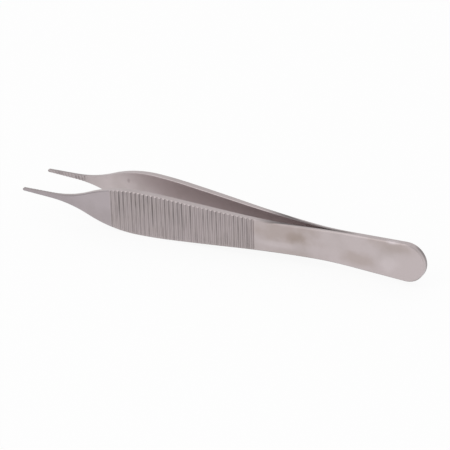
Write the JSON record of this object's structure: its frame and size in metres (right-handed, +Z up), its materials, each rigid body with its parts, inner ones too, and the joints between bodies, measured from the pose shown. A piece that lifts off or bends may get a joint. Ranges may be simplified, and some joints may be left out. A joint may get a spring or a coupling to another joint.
{
  "type": "thumb forceps",
  "caption": "Slender thumb forceps: sprung arms welded at a round heel, with cross-grooved grips, narrow necks and long thin jaws with fine cross notches.",
  "frame": {"origin": "centre of the bounding box's bottom face: under the middle of the forceps, on the surface that it lies on", "axes": "+X along the forceps towards the heel, so the tips point to -X; +Y across the gap towards the rear arm; +Z up, across the width of the arms"},
  "size_m": [0.12, 0.0146, 0.0129],
  "materials": {
    "arm_steel": "satin ground stainless steel with a fine grain"
  },
  "bodies": {
    "root": {"front_arm": "arm_steel", "rear_arm": "arm_steel"}
  },
  "joints": []
}
